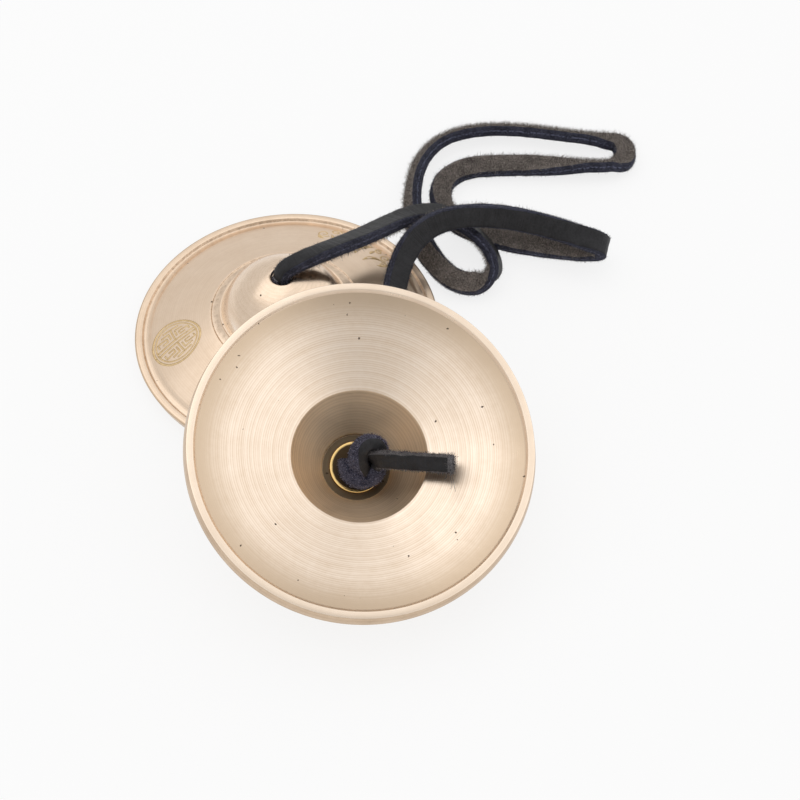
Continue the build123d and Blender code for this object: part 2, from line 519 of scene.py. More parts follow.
BOWL_BRONZE = BronzeFinish(
    "bowl_bronze", colour=(0.91, 0.778, 0.652), shade=(0.70, 0.545, 0.40), roughness=0.32, anisotropy=0.75,
    ring_pitch=0.42, ring_depth=0.000006, ring_tint=0.8, tarnish=0.30, speck_share=0.10,
    edge_band=(25.5, 33.0, 1.0),
)
# Hollow: the near-black edge band is painted shade in the recess round the washer, and the bright line is a
# painted highlight on the recess's rim.
HOLLOW_BRONZE = BronzeFinish(
    "hollow_bronze", colour=(0.98, 0.765, 0.545), shade=(0.82, 0.62, 0.42), roughness=0.44, anisotropy=0.6,
    ring_pitch=0.45, ring_depth=0.000016, ring_tint=1.2, tarnish=0.35, speck_share=0.06,
    lines=((7.45, 0.18, 0.9),), line_colour=(0.95, 0.78, 0.55),
    edge_band=(7.4, 7.1, 0.95), edge_colour=(0.085, 0.060, 0.035), edge_jitter=0.1,
)
LAND_BRONZE = BronzeFinish(
    "land_bronze", colour=(0.90, 0.76, 0.625), shade=(0.72, 0.57, 0.43), roughness=0.30, anisotropy=0.65,
    ring_pitch=0.35, ring_depth=0.000001, ring_tint=0.3, tarnish=0.20, speck_share=0.04,
)
WALL_BRONZE = BronzeFinish(
    "wall_bronze", colour=(0.72, 0.555, 0.40), shade=(0.48, 0.345, 0.23), roughness=0.34, anisotropy=0.2,
    ring_pitch=0.35, ring_depth=0.000002, ring_tint=0.3, tarnish=0.45, speck_share=0.06,
)
# Back: the lines are painted shade in the moulding's groove and at its edge, and a darker line at the rim
# ring's step.
BACK_BRONZE = BronzeFinish(
    "back_bronze", colour=(0.83, 0.665, 0.515), shade=(0.67, 0.51, 0.37), roughness=0.34, anisotropy=0.35,
    ring_pitch=0.5, ring_depth=0.000003, ring_tint=0.3, tarnish=0.35, speck_share=0.06,
    lines=((33.65, 0.35, 0.45), (17.05, 0.25, 0.5), (16.0, 1.0, 0.35)),
)
# Dome: the pale edge band is a painted highlight at the dome's foot; the dark line runs round the hole.
DOME_BRONZE = BronzeFinish(
    "dome_bronze", colour=(0.865, 0.705, 0.555), shade=(0.62, 0.465, 0.335), roughness=0.22, anisotropy=0.1,
    ring_pitch=0.8, ring_depth=0.000001, ring_tint=0.15, tarnish=0.35, speck_share=0.05,
    lines=((2.6, 0.5, 0.6),), edge_band=(12.8, 14.2, 0.9), edge_colour=(0.95, 0.87, 0.78),
)
ETCHED_GOLD = MetalFinish(
    "etched_gold", colour=(0.76, 0.575, 0.33), shade=(0.62, 0.445, 0.24), roughness=0.5
)
GRAIN_LEATHER = LeatherFinish(
    "grain_leather", colour=(0.008, 0.0078, 0.0088), second=(0.023, 0.0225, 0.025), roughness=0.50,
    nap=2.2, nap_depth=0.00005, crease_depth=1.2, gloss=0.25,
)
EDGE_LEATHER = LeatherFinish(
    "edge_leather", colour=(0.010, 0.0105, 0.0165), second=(0.056, 0.058, 0.086), roughness=0.9,
    nap=3.0, nap_depth=0.00025, nap_stretch=(0.5, 1.0), sheen=0.1, sheen_tint=(0.5, 0.5, 0.6), gloss=0.2,
    pale_lines=(5.69, 12.57),
)
SUEDE_LEATHER = LeatherFinish(
    "suede_leather", colour=SUEDE_COLOUR, second=(0.29, 0.25, 0.225), roughness=1.0,
    nap=3.4, nap_depth=0.0003, sheen=0.3, sheen_tint=(0.55, 0.5, 0.47),
)
KNOT_SUEDE = LeatherFinish(
    "knot_suede", colour=(0.012, 0.013, 0.027), second=(0.105, 0.102, 0.140), roughness=1.0,
    nap=4.2, nap_depth=0.00028, sheen=0.25, sheen_tint=(0.5, 0.5, 0.6),
)
TAIL_EDGE = LeatherFinish(
    "tail_edge", colour=TAIL_COLOUR, second=(0.190, 0.175, 0.175), roughness=1.0,
    nap=3.0, nap_depth=0.00028, sheen=0.25,
)
CUT_END = LeatherFinish(
    "cut_end", colour=(0.075, 0.072, 0.080), second=(0.27, 0.26, 0.27), roughness=1.0,
    nap=3.5, nap_depth=0.0003, sheen=0.25,
)
SUEDE_FIBRE = FibreFinish("suede_fibre", SUEDE_COLOUR, (0.46, 0.41, 0.37))
EDGE_FIBRE = FibreFinish("edge_fibre", (0.012, 0.013, 0.022), (0.15, 0.15, 0.19))
KNOT_FIBRE = FibreFinish("knot_fibre", (0.010, 0.011, 0.026), (0.27, 0.26, 0.34))
TAIL_FIBRE = FibreFinish("tail_fibre", TAIL_COLOUR, (0.27, 0.25, 0.25))


class Zone(Enum):
    """Stretches of the cymbal's profile that have a finish of their own."""

    LAND = 0
    WALL = 1
    BACK = 2
    DOME = 3
    HOLLOW = 4
    BOWL = 5


ZONE_FINISHES = (LAND_BRONZE, WALL_BRONZE, BACK_BRONZE, DOME_BRONZE, HOLLOW_BRONZE, BOWL_BRONZE)


class Side(Enum):
    """Sides of a leather strip."""

    GRAIN = 0
    EDGE = 1
    FLESH = 2
    END = 3


class Workshop:
    """Materials that are made once and shared by the pieces."""

    def __init__(self) -> None:
        """Starts with no materials."""
        self.made: dict[str, bpy.types.Material] = {}

    def material(self, finish: Finish) -> bpy.types.Material:
        """The material of a finish, made at its first use."""
        if finish.name not in self.made:
            self.made[finish.name] = finish.material()
        return self.made[finish.name]


def mesh_piece(
    name: str,
    corners: np.ndarray,
    faces: Sequence[Sequence[int]],
    materials: Sequence[bpy.types.Material],
    slots: Sequence[int] | None = None,
) -> bpy.types.Object:
    """Makes a smooth mesh object at the origin.

    Args:
        name: The piece's name.
        corners: Its vertices, in the frame's metres.
        faces: Vertex numbers of each face, facing outwards.
        materials: Its materials.
        slots: The material's number for each face, where there are several.

    Returns:
        The new object.
    """
    mesh = bpy.data.meshes.new(name)
    mesh.from_pydata(np.asarray(corners).tolist(), [], [list(face) for face in faces])
    for material in materials:
        mesh.materials.append(material)
    if slots is not None:
        mesh.polygons.foreach_set("material_index", np.asarray(slots, np.int32))
    mesh.polygons.foreach_set("use_smooth", [True] * len(mesh.polygons))
    mesh.update()
    piece = bpy.data.objects.new(name, mesh)
    bpy.context.collection.objects.link(piece)
    return piece


def vector_attribute(mesh: bpy.types.Mesh, name: str, values: np.ndarray) -> None:
    """Stores a vector for each vertex of a mesh."""
    stored = mesh.attributes.new(name, "FLOAT_VECTOR", "POINT")
    stored.data.foreach_set("vector", np.asarray(values, np.float32).ravel())


def evaluated_copy(source: bpy.types.Object, name: str) -> bpy.types.Object:
    """Turns an object with modifiers, or a curve, into a plain mesh object and removes the source.

    Args:
        source: The object to evaluate.
        name: The new object's name.

    Returns:
        The plain mesh object.
    """
    graph = bpy.context.evaluated_depsgraph_get()
    mesh = bpy.data.meshes.new_from_object(source.evaluated_get(graph), depsgraph=graph)
    bpy.data.objects.remove(source)
    mesh.name = name
    piece = bpy.data.objects.new(name, mesh)
    bpy.context.collection.objects.link(piece)
    return piece


class NodeModifier(NodeTree):
    """A Geometry Nodes tree that is built in the script and used once on an object."""

    def __init__(self, name: str, inputs: Mapping[str, tuple[str, float | int]]) -> None:
        """Starts a tree with a geometry input, named inputs with their values, and a geometry output.

        Args:
            name: The tree's name.
            inputs: Socket type and value of each named input.
        """
        super().__init__(bpy.data.node_groups.new(name, "GeometryNodeTree"))
        self.tree.interface.new_socket("Geometry", in_out="INPUT", socket_type="NodeSocketGeometry")
        self.values: dict[str, float | int] = {}
        for label, (kind, given) in inputs.items():
            socket = self.tree.interface.new_socket(label, in_out="INPUT", socket_type=kind)
            self.values[socket.identifier] = given
        self.tree.interface.new_socket("Geometry", in_out="OUTPUT", socket_type="NodeSocketGeometry")
        self.start = self.node("NodeGroupInput")

    def product(self, first: bpy.types.NodeSocket, second: bpy.types.NodeSocket) -> bpy.types.NodeSocket:
        """One number times another."""
        return self.node("ShaderNodeMath", {"operation": "MULTIPLY"}, {0: first, 1: second}).outputs[0]

    def apply(
        self,
        source: bpy.types.Object,
        instances: bpy.types.NodeSocket,
        material: bpy.types.Material,
        name: str,
    ) -> bpy.types.Object:
        """Ends the tree, runs it on an object and gives the result as a plain mesh.

        Args:
            source: The object whose geometry goes in. It is removed.
            instances: The socket that holds the result's instances.
            material: The result's material.
            name: The new piece's name.

        Returns:
            The plain mesh object.
        """
        real = self.node("GeometryNodeRealizeInstances", None, {0: instances})
        painted = self.node("GeometryNodeSetMaterial", None, {0: real.outputs[0], "Material": material})
        self.node("NodeGroupOutput", None, {0: painted.outputs[0]})
        modifier = source.modifiers.new(self.tree.name, "NODES")
        modifier.node_group = self.tree
        for identifier, given in self.values.items():
            modifier[identifier] = given
        bpy.context.view_layer.update()
        return evaluated_copy(source, name)


def between(start: Flat, end: Flat, share: float, lift: float = 0.0) -> Flat:
    """A point on the way from start to end, lifted to the left by a share of the way's length."""
    run = (end[0] - start[0], end[1] - start[1])
    return (start[0] + run[0] * share - run[1] * lift, start[1] + run[1] * share + run[0] * lift)


@dataclass(frozen=True)
class CymbalProfile:
    """Half section of the cymbal in its own frame: the land at height 0 and the boss along +Z."""

    rim_radius: float = 0.0356
    rim_flare: float = 0.0007
    rim_height: float = 0.0032
    rim_round: float = 0.0004
    land_width: float = 0.0014
    lip_width: float = 0.0004
    lip_depth: float = 0.00075
    back_ring_width: float = 0.0017
    back_ring_step: float = 0.0007
    back_ring_slope: float = 0.0004
    shoulder_width: float = 0.0019
    wall: float = 0.00175
    dish_bow: float = 0.0003
    bowl_depth: float = 0.0083
    mouth_radius: float = 0.01415
    moulding_radius: float = 0.0172
    moulding_depth: float = 0.0004
    moulding_slope: float = 0.00025
    bead_radius: float = 0.0151
    bead_width: float = 0.0005
    bead_height: float = 0.0006
    boss_radius: float = 0.0144
    boss_foot: float = 0.0002
    boss_height: float = 0.0206
    boss_bow: float = 0.0005
    hole_radius: float = 0.002271
    hole_round: float = 0.0006
    seat_depth: float = 0.0176
    recess_radius: float = 0.0073
    recess_depth: float = 0.0006
    edge_softness: float = 0.00012
    softness_share: float = 0.4
    corner_bulge: float = 0.29
    smooth_below: float = 15.0
    step: float = 0.0004

    @property
    def lip_radius(self) -> float:
        """Where the bowl meets the lip."""
        return self.rim_radius - self.rim_flare - self.land_width - self.lip_width

    @property
    def shoulder_radius(self) -> float:
        """Where the back starts to rise from the step inside the rim's ring."""
        return self.rim_radius - self.back_ring_width - self.back_ring_slope - self.shoulder_width

    def straight_back(self, radius: float) -> float:
        """Height of the back at a radius, without its bow."""
        rise = (self.bowl_depth - self.lip_depth) / (self.lip_radius - self.mouth_radius)
        return self.lip_depth + (self.lip_radius - radius) * rise + self.wall * math.hypot(1.0, rise)

    def flange_height(self, radius: float) -> float:
        """Height of the bowed back between the moulding and the shoulder."""
        inner, outer = self.moulding_radius, self.shoulder_radius
        share = min(max((radius - inner) / (outer - inner), 0.0), 1.0)
        return self.straight_back(radius) + self.dish_bow * 4.0 * share * (1.0 - share)

    def bowed(self, start: Flat, end: Flat, bow: float) -> list[Flat]:
        """Points of a shallow arc whose middle stands bow to the left of the straight line.

        Args:
            start: First point.
            end: Last point.
            bow: Height of the arc.

        Returns:
            The points, with both ends.
        """
        length = math.dist(start, end)
        shares = np.linspace(0.0, 1.0, max(2, round(length / self.step)) + 1)
        return [between(start, end, share, 4.0 * bow * share * (1.0 - share) / length) for share in shares]

    def rounded(self, start: Flat, end: Flat, centre: Flat) -> list[Flat]:
        """Points of the short arc from start to end round a centre."""
        first = math.atan2(start[1] - centre[1], start[0] - centre[0])
        turn = math.atan2(end[1] - centre[1], end[0] - centre[0]) - first
        radius = math.dist(start, centre)
        count = max(4, round(abs(turn) * radius / self.step))
        angles = [first + turn * index / count for index in range(count + 1)]
        arms = [(radius * math.cos(angle), radius * math.sin(angle)) for angle in angles]
        return [(centre[0] + x, centre[1] + y) for x, y in arms]

    def stretches(self) -> list[tuple[Zone, list[Flat]]]:
        """The closed outline, from the land outwards, over the back and through the hole to the bowl."""
        land_radius = self.rim_radius - self.rim_flare
        land_inner = land_radius - self.land_width
        widest = (self.rim_radius, self.rim_height - self.rim_round)
        rim_top = (self.rim_radius - self.rim_round, self.rim_height)
        ring_inner = (self.rim_radius - self.back_ring_width, self.rim_height)
        ring_foot = (ring_inner[0] - self.back_ring_slope, self.rim_height - self.back_ring_step)
        shoulder = (self.shoulder_radius, self.straight_back(self.shoulder_radius))
        moulding_edge = (self.moulding_radius, self.straight_back(self.moulding_radius))
        floor_radius = self.moulding_radius - self.moulding_slope
        floor_start = (floor_radius, self.straight_back(floor_radius) - self.moulding_depth)
        floor_end = (self.bead_radius, self.straight_back(self.bead_radius) - self.moulding_depth)
        bead_top = (self.bead_radius, floor_end[1] + self.bead_height)
        bead_end = (self.bead_radius - self.bead_width, bead_top[1])
        boss_base = (self.boss_radius, bead_top[1] - self.boss_foot)
        dome_height = self.boss_height - boss_base[1]
        dome_radius = (self.boss_radius**2 + dome_height**2) / (2 * dome_height)
        dome_centre = (0.0, self.boss_height - dome_radius)
        brow_radius = self.hole_radius + self.hole_round
        brow = (brow_radius, dome_centre[1] + math.sqrt(dome_radius**2 - brow_radius**2))
        throat = (self.hole_radius, brow[1] - self.hole_round)
        seat = (self.hole_radius, self.seat_depth)
        recess_floor = (self.recess_radius, self.seat_depth)
        recess_rim = (self.recess_radius, self.seat_depth - self.recess_depth)
        mouth = (self.mouth_radius, self.bowl_depth)
        lip = (self.lip_radius, self.lip_depth)
        rim_centre = (self.rim_radius - self.rim_round, widest[1])
        return [
            (Zone.LAND, [lip, (land_inner, 0.0), (land_radius, 0.0)]),
            (Zone.WALL, [(land_radius, 0.0), widest]),
            (Zone.WALL, self.rounded(widest, rim_top, rim_centre)),
            (Zone.BACK, [rim_top, ring_inner, ring_foot]),
            (Zone.BACK, self.bowed(ring_foot, shoulder, self.lip_width / 2)),
            (Zone.BACK, self.bowed(shoulder, moulding_edge, -self.dish_bow)),
            (Zone.BACK, [moulding_edge, floor_start, floor_end, bead_top, bead_end, boss_base]),
            (Zone.DOME, self.rounded(boss_base, brow, dome_centre)),
            (Zone.DOME, self.rounded(brow, throat, (brow_radius, throat[1])) + [seat]),
            (Zone.HOLLOW, [seat, recess_floor, recess_rim]),
            (Zone.HOLLOW, self.bowed(recess_rim, mouth, self.boss_bow)),
            (Zone.BOWL, self.bowed(mouth, lip, self.dish_bow)),
        ]

    def outline(self) -> tuple[np.ndarray, list[Zone]]:
        """The outline's points with its corners softened, and the zone of each run to the next point.

        Returns:
            The points as rows of radius and height, and as many zones.
        """
        points: list[Flat] = []
        zones: list[Zone] = []
        for zone, stretch in self.stretches():
            for point in stretch[:-1]:
                points.append(point)
                zones.append(zone)
        line = np.array(points)
        soft: list[np.ndarray] = []
        soft_zones: list[Zone] = []
        for index, corner in enumerate(line):
            before, after = corner - line[index - 1], line[(index + 1) % len(line)] - corner
            reach = min(self.edge_softness, self.softness_share * min(np.hypot(*before), np.hypot(*after)))
            back, ahead = before / np.hypot(*before), after / np.hypot(*after)
            if back @ ahead > math.cos(math.radians(self.smooth_below)):
                soft.append(corner)
                soft_zones.append(zones[index])
                continue
            bend = corner + (ahead - back) * reach * self.corner_bulge
            soft += [corner - back * reach, bend, corner + ahead * reach]
            soft_zones += [zones[index - 1], zones[index], zones[index]]
        return np.array(soft), soft_zones


RINGS = ((5.4, 1.1), (4.7, 0.75))
FRET_MIDDLE: list[Stroke] = [
    ([(-4.5, 0.42), (4.5, 0.42)], 1.0),
    ([(0.0, 0.42), (0.0, 3.7)], 0.9),
    ([(-1.9, 3.65), (1.9, 3.65)], 0.9),
]
FRET_SIDE: list[Stroke] = [
    ([(3.7, 1.1), (3.7, 2.1), (1.5, 2.1), (1.5, 1.25), (2.8, 1.25)], 0.9),
    ([(0.75, 1.2), (0.75, 2.85), (2.6, 2.85)], 0.9),
]
CURLS = (
    ((9.0, -0.2), 1.7, 200, 1), ((6.6, 1.9), 1.3, 160, -1), ((-7.6, 1.6), 1.3, 210, 1),
    ((-9.4, -0.6), 1.1, 20, 1), ((-4.9, 2.2), 1.0, 90, -1),
)
LEAVES = (
    ((-3.0, 2.5), (-2.3, -3.7), 0.5, 2.6), ((-2.0, 2.2), (-0.6, -1.0), -0.5, 2.0),
    ((-4.4, 1.4), (-4.6, -0.6), 0.3, 1.8), ((-8.2, 0.0), (-5.7, -4.1), 0.6, 2.6),
    ((-9.8, 1.0), (-9.0, -2.2), -0.4, 1.8), ((5.0, 2.9), (1.6, 2.6), 0.5, 2.2),
    ((7.2, 0.2), (3.4, -0.8), 0.6, 2.2), ((10.2, -1.0), (8.0, -2.6), 0.5, 1.8),
)


@dataclass
class Ornament:
    """Etched motifs on the cymbal's back: a fret roundel and a spray of leaves and curls on the flange.

    The motifs' tables are in millimetres: each ring's radius and line weight, each curl's middle, size, start
    in degrees and hand, and each leaf's root, tip, bow and width.
    """

    profile: CymbalProfile
    roundel_radius: float = 0.0259
    roundel_angle: float = 196.0
    roundel_turn: float = 73.6
    roundel_scale: float = 1.06
    spray_radius: float = 0.0285
    spray_angle: float = 56.0
    line: float = 0.0005
    rise: float = 0.000025
    sink: float = 0.00006
    stride: float = 0.00035
    ring_points: int = 60
    curl_points: int = 36
    curl_turn: float = 470.0
    curl_closing: float = 0.82
    curl_weight: float = 0.8
    leaf_points: int = 15
    leaf_bow: float = 1.6
    leaf_tip: float = 0.12

    def roundel(self) -> list[Stroke]:
        """Strokes of the roundel, as points in millimetres and a line width factor."""
        strokes: list[Stroke] = []
        for radius, weight in RINGS:
            angles = [math.tau * index / self.ring_points for index in range(self.ring_points + 1)]
            circle = [(radius * math.cos(angle), radius * math.sin(angle)) for angle in angles]
            strokes.append((circle, weight))
        mirrored = [([(-x, y) for x, y in points], weight) for points, weight in FRET_SIDE]
        for points, weight in FRET_MIDDLE + FRET_SIDE + mirrored:
            strokes += [(points, weight), ([(-x, -y) for x, y in points], weight)]
        turn = math.radians(self.roundel_turn)
        cos, sin = math.cos(turn) * self.roundel_scale, math.sin(turn) * self.roundel_scale
        turned: list[Stroke] = []
        for points, weight in strokes:
            turned.append(([(x * cos - y * sin, x * sin + y * cos) for x, y in points], weight))
        return turned

    def spray(self) -> list[Stroke]:
        """Strokes of the spray: curls, and pointed leaves as strokes of minus their greatest width."""
        strokes: list[Stroke] = []
        for (x, y), size, start, hand in CURLS:
            curl = []
            for share in np.linspace(0.0, 1.0, self.curl_points):
                angle = math.radians(start + hand * self.curl_turn * share)
                reach = size * (1.0 - self.curl_closing * share)
                curl.append((x + reach * math.cos(angle), y + reach * math.sin(angle)))
            strokes.append((curl, self.curl_weight))
        for root, tip, bow, width in LEAVES:
            shares = np.linspace(0.0, 1.0, self.leaf_points)
            bows = self.leaf_bow * bow * shares * (1.0 - shares)
            leaf = [between(root, tip, share, lift) for share, lift in zip(shares, bows)]
            strokes.append((leaf, -width))
        return strokes

    def on_back(self, point: Flat, radius: float, angle: float, lift: float) -> Point:
        """Own-frame place of a motif's point: its first number runs round the axis, its second outwards."""
        reach = radius + point[1] * MILLI
        turn = math.radians(angle) + point[0] * MILLI / radius
        return (reach * math.cos(turn), reach * math.sin(turn), self.profile.flange_height(reach) + lift)

    def stroke_mesh(
        self, points: list[Flat], weight: float, radius: float, angle: float
    ) -> tuple[list[Point], list[tuple[int, ...]]]:
        """A thin raised line that follows the back.

        Args:
            points: The stroke in millimetres.
            weight: Factor on the line's width. Below zero, the stroke swells to it and ends in points.
            radius: The motif's distance from the axis.
            angle: The motif's place round the axis.

        Returns:
            The line's corners and faces.
        """
        dense = [points[0]]
        for start, end in zip(points, points[1:]):
            count = max(1, round(math.dist(start, end) * MILLI / self.stride))
            dense += [between(start, end, index / count) for index in range(1, count + 1)]
        last = len(dense) - 1
        corners: list[Point] = []
        for index, point in enumerate(dense):
            before, after = dense[max(index - 1, 0)], dense[min(index + 1, last)]
            length = math.dist(before, after) or 1.0
            swell = 1.0
            if weight < 0:
                swell = self.leaf_tip + (1.0 - self.leaf_tip) * math.sin(math.pi * index / last)
            half = self.line * abs(weight) * swell / 2 / MILLI
            aside = ((before[1] - after[1]) / length * half, (after[0] - before[0]) / length * half)
            left = (point[0] + aside[0], point[1] + aside[1])
            right = (point[0] - aside[0], point[1] - aside[1])
            section = ((left, self.rise), (right, self.rise), (right, -self.sink), (left, -self.sink))
            corners += [self.on_back(edge, radius, angle, lift) for edge, lift in section]
        faces: list[tuple[int, ...]] = [(0, 1, 2, 3), tuple(4 * last + corner for corner in (3, 2, 1, 0))]
        for near in range(0, 4 * last, 4):
            far = near + 4
            for side in range(4):
                after = (side + 1) % 4
                faces.append((near + side, far + side, far + after, near + after))
        return corners, faces

    def build(
        self, name: str, place: Matrix, tail_towards: float, material: bpy.types.Material
    ) -> bpy.types.Object:
        """Puts the roundel and the spray on a cymbal.

        Args:
            name: The new piece's name.
            place: The cymbal's own frame.
            tail_towards: Heading of that frame's X axis, in degrees.
            material: The etched lines' material.

        Returns:
            The mesh of all strokes.
        """
        corners: list[Point] = []
        faces: list[tuple[int, ...]] = []
        motifs = (
            (self.roundel(), self.roundel_radius, self.roundel_angle - tail_towards),
            (self.spray(), self.spray_radius, self.spray_angle - tail_towards),
        )
        for strokes, radius, angle in motifs:
            for points, weight in strokes:
                some, sides = self.stroke_mesh(points, weight, radius, angle)
                faces += [tuple(len(corners) + corner for corner in side) for side in sides]
                corners += some
        etched = mesh_piece(name, np.array(corners), faces, [material])
        etched.data.transform(place)
        return etched


@dataclass
class Cymbal:
    """One cymbal: the turned bronze and the etched motifs on its back."""

    name: str
    land: Vector
    boss: Vector
    tail_towards: float
    profile: CymbalProfile = field(default_factory=CymbalProfile)
    segments: int = 300
    sharp_angle: float = 46.0

    @property
    def place(self) -> Matrix:
        """The cymbal's own frame: its land's middle, X towards the knot's tail and Z along the boss."""
        angle = math.radians(self.tail_towards)
        heading = Vector((math.cos(angle), math.sin(angle), 0.0))
        level = (heading - self.boss * heading.dot(self.boss)).normalized()
        turned = Matrix((level, self.boss.cross(level), self.boss)).transposed()
        return Matrix.Translation(self.land) @ turned.to_4x4()

    def turned_body(self, workshop: Workshop) -> bpy.types.Object:
        """Turns the outline round the axis, with a material for each zone.

        Args:
            workshop: Where the materials come from.

        Returns:
            The bronze body.
        """
        outline, zones = self.profile.outline()
        around = np.linspace(0.0, math.tau, self.segments, endpoint=False)
        count = len(outline)
        own = np.zeros((self.segments, count, 3))
        own[:, :, 0] = np.cos(around)[:, None] * outline[None, :, 0]
        own[:, :, 1] = np.sin(around)[:, None] * outline[None, :, 0]
        own[:, :, 2] = outline[None, :, 1]
        own = own.reshape(-1, 3)
        faces = []
        slots = []
        for turn in range(self.segments):
            here, there = turn * count, (turn + 1) % self.segments * count
            for index in range(count):
                after = (index + 1) % count
                faces.append((here + index, there + index, there + after, here + after))
                slots.append(zones[index].value)
        materials = [workshop.material(finish) for finish in ZONE_FINISHES]
        body = mesh_piece(f"{self.name}_bronze", own, faces, materials, slots)
        vector_attribute(body.data, "own", own / MILLI)
        body.data.transform(self.place)
        body.data.set_sharp_from_angle(angle=math.radians(self.sharp_angle))
        return body

    def build(self, workshop: Workshop) -> None:
        """Makes the cymbal's pieces and puts them on its body.

        Args:
            workshop: Where the materials come from.
        """
        body = self.turned_body(workshop)
        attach(body, self.name)
        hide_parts(self.name)
        gold = workshop.material(ETCHED_GOLD)
        etched = Ornament(self.profile).build(f"{self.name}_motifs", self.place, self.tail_towards, gold)
        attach(etched, self.name)
        log.info("%s: %d faces, motifs %d", body.name, len(body.data.polygons), len(etched.data.polygons))


@dataclass
class Strip:
    """A flat leather strip along a line of points, with its grain side turned as its directions say."""

    points: np.ndarray
    grain: np.ndarray
    width: np.ndarray
    thickness: np.ndarray
    roundness: np.ndarray
    unevenness: float = 0.00012
    frayed: float = 0.0
    face_points: int = 8
    edge_points: int = 5
    face_ease: float = 0.9
    edge_ease: float = 0.72
    bumps_along: float = 400.0
    bumps_round: float = 0.7
    bump_layers: Flat = (3.0, 12.0)
    thin_bumps: float = 0.6
    girth_halves: Flat = (2.5, 1.1)
    sharp_angle: float = 60.0

    def section(self) -> tuple[np.ndarray, np.ndarray, list[Side]]:
        """Half-size section as a rectangle with eased corners and as an ellipse, and the side of each run.

        Returns:
            The rectangle's points, the ellipse's points, and the sides.
        """
        face = np.linspace(self.face_ease, -self.face_ease, self.face_points)
        edge = np.linspace(self.edge_ease, -self.edge_ease, self.edge_points)
        grain = [(across, 1.0) for across in face]
        first = [(-1.0, up) for up in edge]
        flesh = [(-across, -1.0) for across in face]
        second = [(1.0, -up) for up in edge]
        flat = np.array(grain + first + flesh + second)
        angles = np.arctan2(flat[:, 1], flat[:, 0])
        ellipse = np.stack([np.cos(angles), np.sin(angles)], axis=1)
        sides: list[Side] = []
        for side in (Side.GRAIN, Side.FLESH):
            sides += [side] * (self.face_points - 1) + [Side.EDGE] * (self.edge_points + 1)
        return flat, ellipse, sides

    def travelled(self, points: np.ndarray) -> np.ndarray:
        """Way from the first of some points to each of them."""
        return np.concatenate([[0.0], np.cumsum(np.linalg.norm(np.diff(points, axis=0), axis=1))])

    def frames(self) -> tuple[np.ndarray, np.ndarray]:
        """Unit vectors across the strip and out of its grain side at each point."""
        along = np.gradient(self.points, axis=0)
        along /= np.linalg.norm(along, axis=1, keepdims=True)
        out = self.grain - along * np.sum(self.grain * along, axis=1, keepdims=True)
        out /= np.linalg.norm(out, axis=1, keepdims=True)
        return np.cross(out, along), out

    def build(self, name: str, materials: Sequence[bpy.types.Material]) -> bpy.types.Object:
        """Sweeps the section along the line.

        Args:
            name: The new piece's name.
            materials: Materials of the grain side, the edges, the flesh side and the cut ends.

        Returns:
            The closed strip, with a UV map of its length and girth in millimetres.
        """
        flat, ellipse, sides = self.section()
        across, out = self.frames()
        count, girth = len(self.points), len(flat)
        share = self.roundness[:, None, None]
        shape = flat[None] * (1.0 - share) + ellipse[None] * share
        wide = shape[:, :, 0] * (self.width / 2)[:, None]
        high = shape[:, :, 1] * (self.thickness / 2)[:, None]
        way = self.travelled(self.points)
        for ring in range(count):
            for corner in range(girth):
                spot = (way[ring] * self.bumps_along, corner * self.bumps_round)
                broad, thin = (noise.noise(Vector((*spot, layer))) for layer in self.bump_layers)
                wide[ring, corner] += broad * self.unevenness
                high[ring, corner] += thin * self.unevenness * self.thin_bumps
        corners = self.points[:, None] + across[:, None] * wide[:, :, None] + out[:, None] * high[:, :, None]
        faces: list[tuple[int, ...]] = []
        slots: list[int] = []
        for ring in range(count - 1):
            here, there = ring * girth, (ring + 1) * girth
            ragged_edge = way[ring] > way[-1] - self.frayed
            for corner in range(girth):
                after = (corner + 1) % girth
                faces.append((here + corner, here + after, there + after, there + corner))
                slots.append(Side.END.value if ragged_edge else sides[corner].value)
        faces.append(tuple(range(girth - 1, -1, -1)))
        faces.append(tuple((count - 1) * girth + corner for corner in range(girth)))
        slots += [Side.END.value, Side.END.value]
        piece = mesh_piece(name, corners.reshape(-1, 3), faces, materials, slots)
        round_it = self.travelled(flat * self.girth_halves)
        lie = piece.data.uv_layers.new(name="lie")
        for polygon in piece.data.polygons:
            for loop in polygon.loop_indices:
                ring, corner = divmod(piece.data.loops[loop].vertex_index, girth)
                lie.data[loop].uv = (way[ring] / MILLI, round_it[corner])
        piece.data.set_sharp_from_angle(angle=math.radians(self.sharp_angle))
        return piece


def smooth_line(name: str, controls: Sequence[Point], resolution: int) -> np.ndarray:
    """Points of a NURBS spline of order 3.

    Args:
        name: Name of the passing curve.
        controls: The spline's control points.
        resolution: Points between two controls.

    Returns:
        The spline's points in order.
    """
    curve = bpy.data.curves.new(name, "CURVE")
    curve.dimensions = "3D"
    curve.resolution_u = resolution
    spline = curve.splines.new("NURBS")
    spline.points.add(len(controls) - 1)
    for point, control in zip(spline.points, controls):
        point.co = (*control, 1.0)
    spline.order_u = 3
    spline.use_endpoint_u = True
    passing = bpy.data.objects.new(name, curve)
    bpy.context.collection.objects.link(passing)
    bpy.context.view_layer.update()
    line = evaluated_copy(passing, f"{name}_line")
    points = np.array([vertex.co for vertex in line.data.vertices], float)
    bpy.data.objects.remove(line)
    return points


def keyed(keys: Mapping[float, Sequence[float]], controls: int, count: int) -> np.ndarray:
    """Values given at some control points, carried over to all points of the spline.

    Args:
        keys: Control point's number and the value there.
        controls: How many control points the spline has.
        count: How many points the spline gave.

    Returns:
        One row for each point.
    """
    spans = controls - 2
    at = np.array([min(max(key - 0.5, 0.0), spans) / spans for key in keys])
    rows = np.array([np.atleast_1d(value) for value in keys.values()], float)
    share = np.linspace(0.0, 1.0, count)
    return np.stack([np.interp(share, at, rows[:, column]) for column in range(rows.shape[1])], axis=1)


